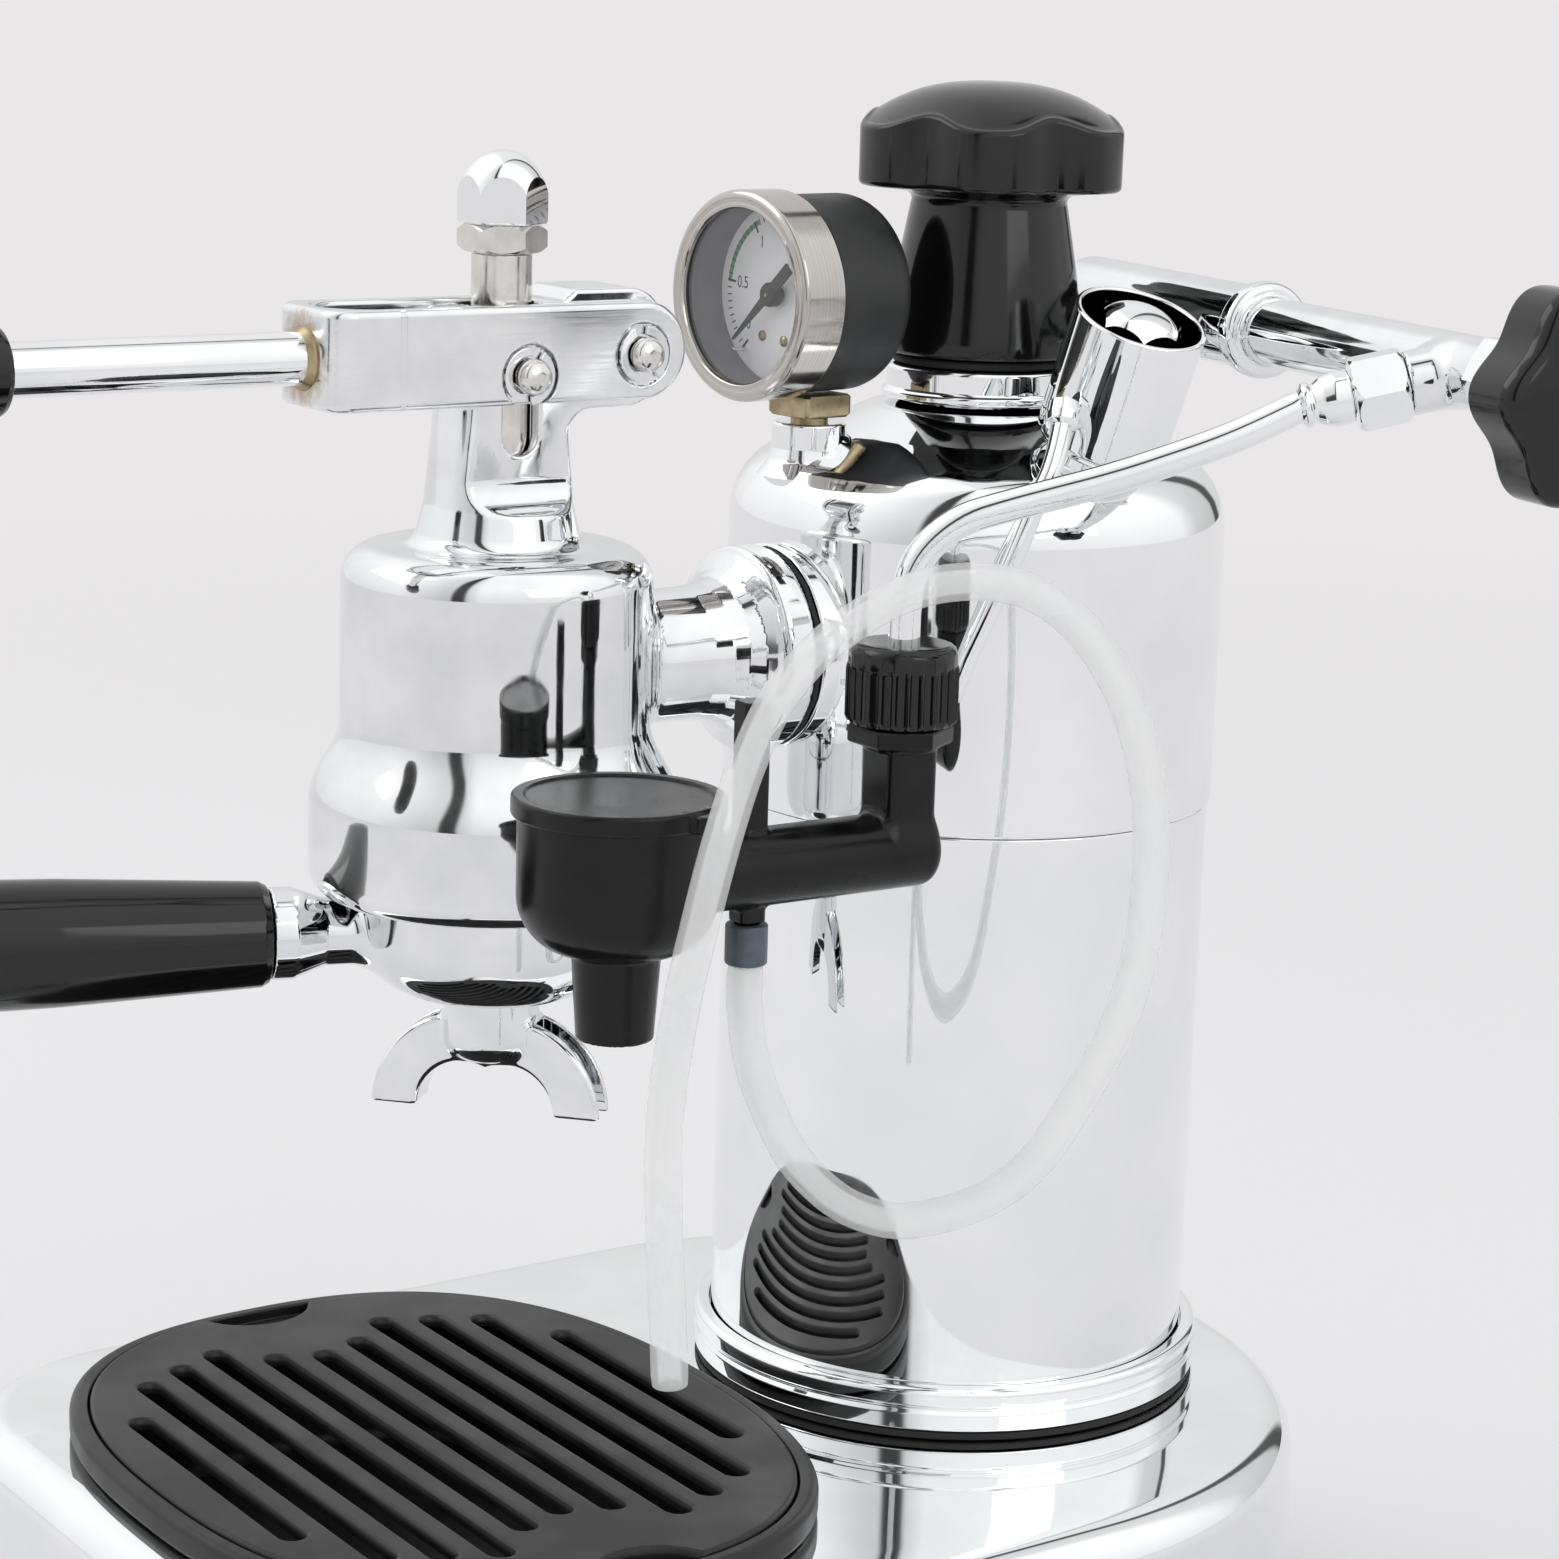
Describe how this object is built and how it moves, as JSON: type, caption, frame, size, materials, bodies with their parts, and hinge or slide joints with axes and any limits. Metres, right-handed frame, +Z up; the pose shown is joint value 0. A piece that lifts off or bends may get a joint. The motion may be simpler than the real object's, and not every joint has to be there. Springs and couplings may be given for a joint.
{
  "type": "lever espresso machine",
  "caption": "Manual lever espresso machine with an upright boiler, piston group, portafilter, steam wand with milk frother, pressure gauge and drip tray.",
  "frame": {"origin": "centre of the boiler's axis on the underside of the base cover", "axes": "+X to the user's right, -Y towards the user, +Z up"},
  "size_m": [0.2656, 0.3943, 0.3193],
  "materials": {
    "chrome": "mirror chrome plate",
    "cast_polished": "linished and polished casting",
    "nickel": "turned, nickel plated",
    "steel": "turned stainless steel",
    "brass": "plain turned brass",
    "bakelite": "glossy black moulded resin",
    "black_plastic": "satin black plastic",
    "tray_plastic": "fine grained black plastic",
    "rubber": "matte",
    "collar_grey": "soft grey plastic",
    "silicone": "translucent milky silicone",
    "glass": "clear",
    "dial": "white enamel with plain scale"
  },
  "bodies": {
    "machine": {"base_shell": "chrome", "base_cover": "black_plastic", "foot_front_left": "rubber", "foot_front_right": "rubber", "foot_rear_left": "rubber", "foot_rear_right": "rubber", "cord_gland": "rubber", "pressurestat": "steel", "boiler_gasket": "rubber", "boiler_foot_ring": "chrome", "boiler_lower_shell": "chrome", "boiler_upper_shell": "chrome", "heating_element": "nickel", "filler_neck": "chrome", "sight_fitting_upper": "chrome", "sight_fitting_lower": "chrome", "sight_glass": "glass", "gauge_fitting": "brass", "gauge_case": "black_plastic", "gauge_bezel": "steel", "gauge_dial": "dial", "gauge_lens": "glass", "safety_valve_cup": "chrome", "safety_valve_nut": "chrome", "discharge_tube": "chrome", "steam_valve_body": "chrome", "wand_nut": "chrome", "group_body": "chrome", "group_gasket": "rubber", "group_sleeve": "brass", "shower_screen": "steel", "portafilter_gasket": "rubber"},
    "piston": {"piston_rod": "nickel", "piston_head": "nickel", "piston_seal": "rubber", "lock_nut": "nickel", "acorn_nut": "nickel", "front_pin": "steel"},
    "lever": {"lever_fork": "cast_polished", "lever_rod": "chrome", "lever_grip": "bakelite", "rear_pin": "steel"},
    "portafilter": {"portafilter_body": "chrome", "portafilter_handle": "bakelite", "portafilter_spout": "chrome", "filter_basket": "steel"},
    "cap_seal": {"cap_gasket": "rubber"},
    "cap": {"filler_cap": "bakelite"},
    "steam_knob": {"steam_knob": "bakelite", "steam_stem": "steel"},
    "wand": {"steam_wand": "chrome", "frother_nut": "bakelite", "frother_body": "black_plastic", "hose_collar": "collar_grey", "milk_hose": "silicone"},
    "frother_lid": {"frother_lid": "black_plastic"},
    "needle": {"gauge_needle": "bakelite"},
    "tray": {"drip_tray": "tray_plastic"},
    "grille": {"drip_grille": "tray_plastic"},
    "switch": {"power_switch": "bakelite"}
  },
  "joints": [
    {"name": "piston_slide", "type": "slide", "parent": "machine", "child": "piston", "axis": [0, 0, 1], "range_m": [-0.00975, 0.02145]},
    {"name": "lever_hinge", "type": "hinge", "parent": "piston", "child": "lever", "pos_m": [0, -0.1095, 0.2597], "axis": [-1, 0, 0], "range_deg": [-25, 55]},
    {"name": "portafilter_turn", "type": "hinge", "parent": "machine", "child": "portafilter", "pos_m": [0, -0.1095, 0.168], "axis": [0, 0, 1], "range_deg": [-60, 0]},
    {"name": "cap_rise", "type": "slide", "parent": "machine", "child": "cap_seal", "axis": [0, 0, 1], "range_m": [0, 0.0151]},
    {"name": "cap_turn", "type": "hinge", "parent": "cap_seal", "child": "cap", "pos_m": [0, 0, 0.27], "axis": [0, 0, 1], "range_deg": [0, 1800]},
    {"name": "steam_knob_turn", "type": "hinge", "parent": "machine", "child": "steam_knob", "pos_m": [0.14699, 0.0011, 0.2687], "axis": [0.9799, -0.1994, 0], "range_deg": [0, 540]},
    {"name": "wand_swivel", "type": "hinge", "parent": "machine", "child": "wand", "pos_m": [0.12641, 0.00528, 0.2687], "axis": [-0.5751, -0.7813, -0.2425], "range_deg": [0, 60]},
    {"name": "frother_lid_lift", "type": "slide", "parent": "wand", "child": "frother_lid", "axis": [0, 0, 1], "range_m": [0, 0.0028]},
    {"name": "gauge_needle_turn", "type": "hinge", "parent": "machine", "child": "needle", "pos_m": [-0.005, -0.0376, 0.2712], "axis": [0.1045, -0.9945, 0], "range_deg": [-250, 0], "stiffness_Nm_per_rad": 0.0001},
    {"name": "tray_lift", "type": "slide", "parent": "machine", "child": "tray", "axis": [0, 0, 1], "range_m": [0, 0.03]},
    {"name": "grille_lift", "type": "slide", "parent": "tray", "child": "grille", "axis": [0, 0, 1], "range_m": [0, 0.02]},
    {"name": "power_switch_rock", "type": "hinge", "parent": "machine", "child": "switch", "pos_m": [0.037, -0.19, 0.027], "axis": [1, 0, 0], "range_deg": [-16, 0]}
  ],
  "couplings": [
    {"joint": "piston_slide", "follows": "lever_hinge", "m_per_rad": 0.0223},
    {"joint": "cap_rise", "follows": "cap_turn", "m_per_rad": 0.00047746}
  ]
}
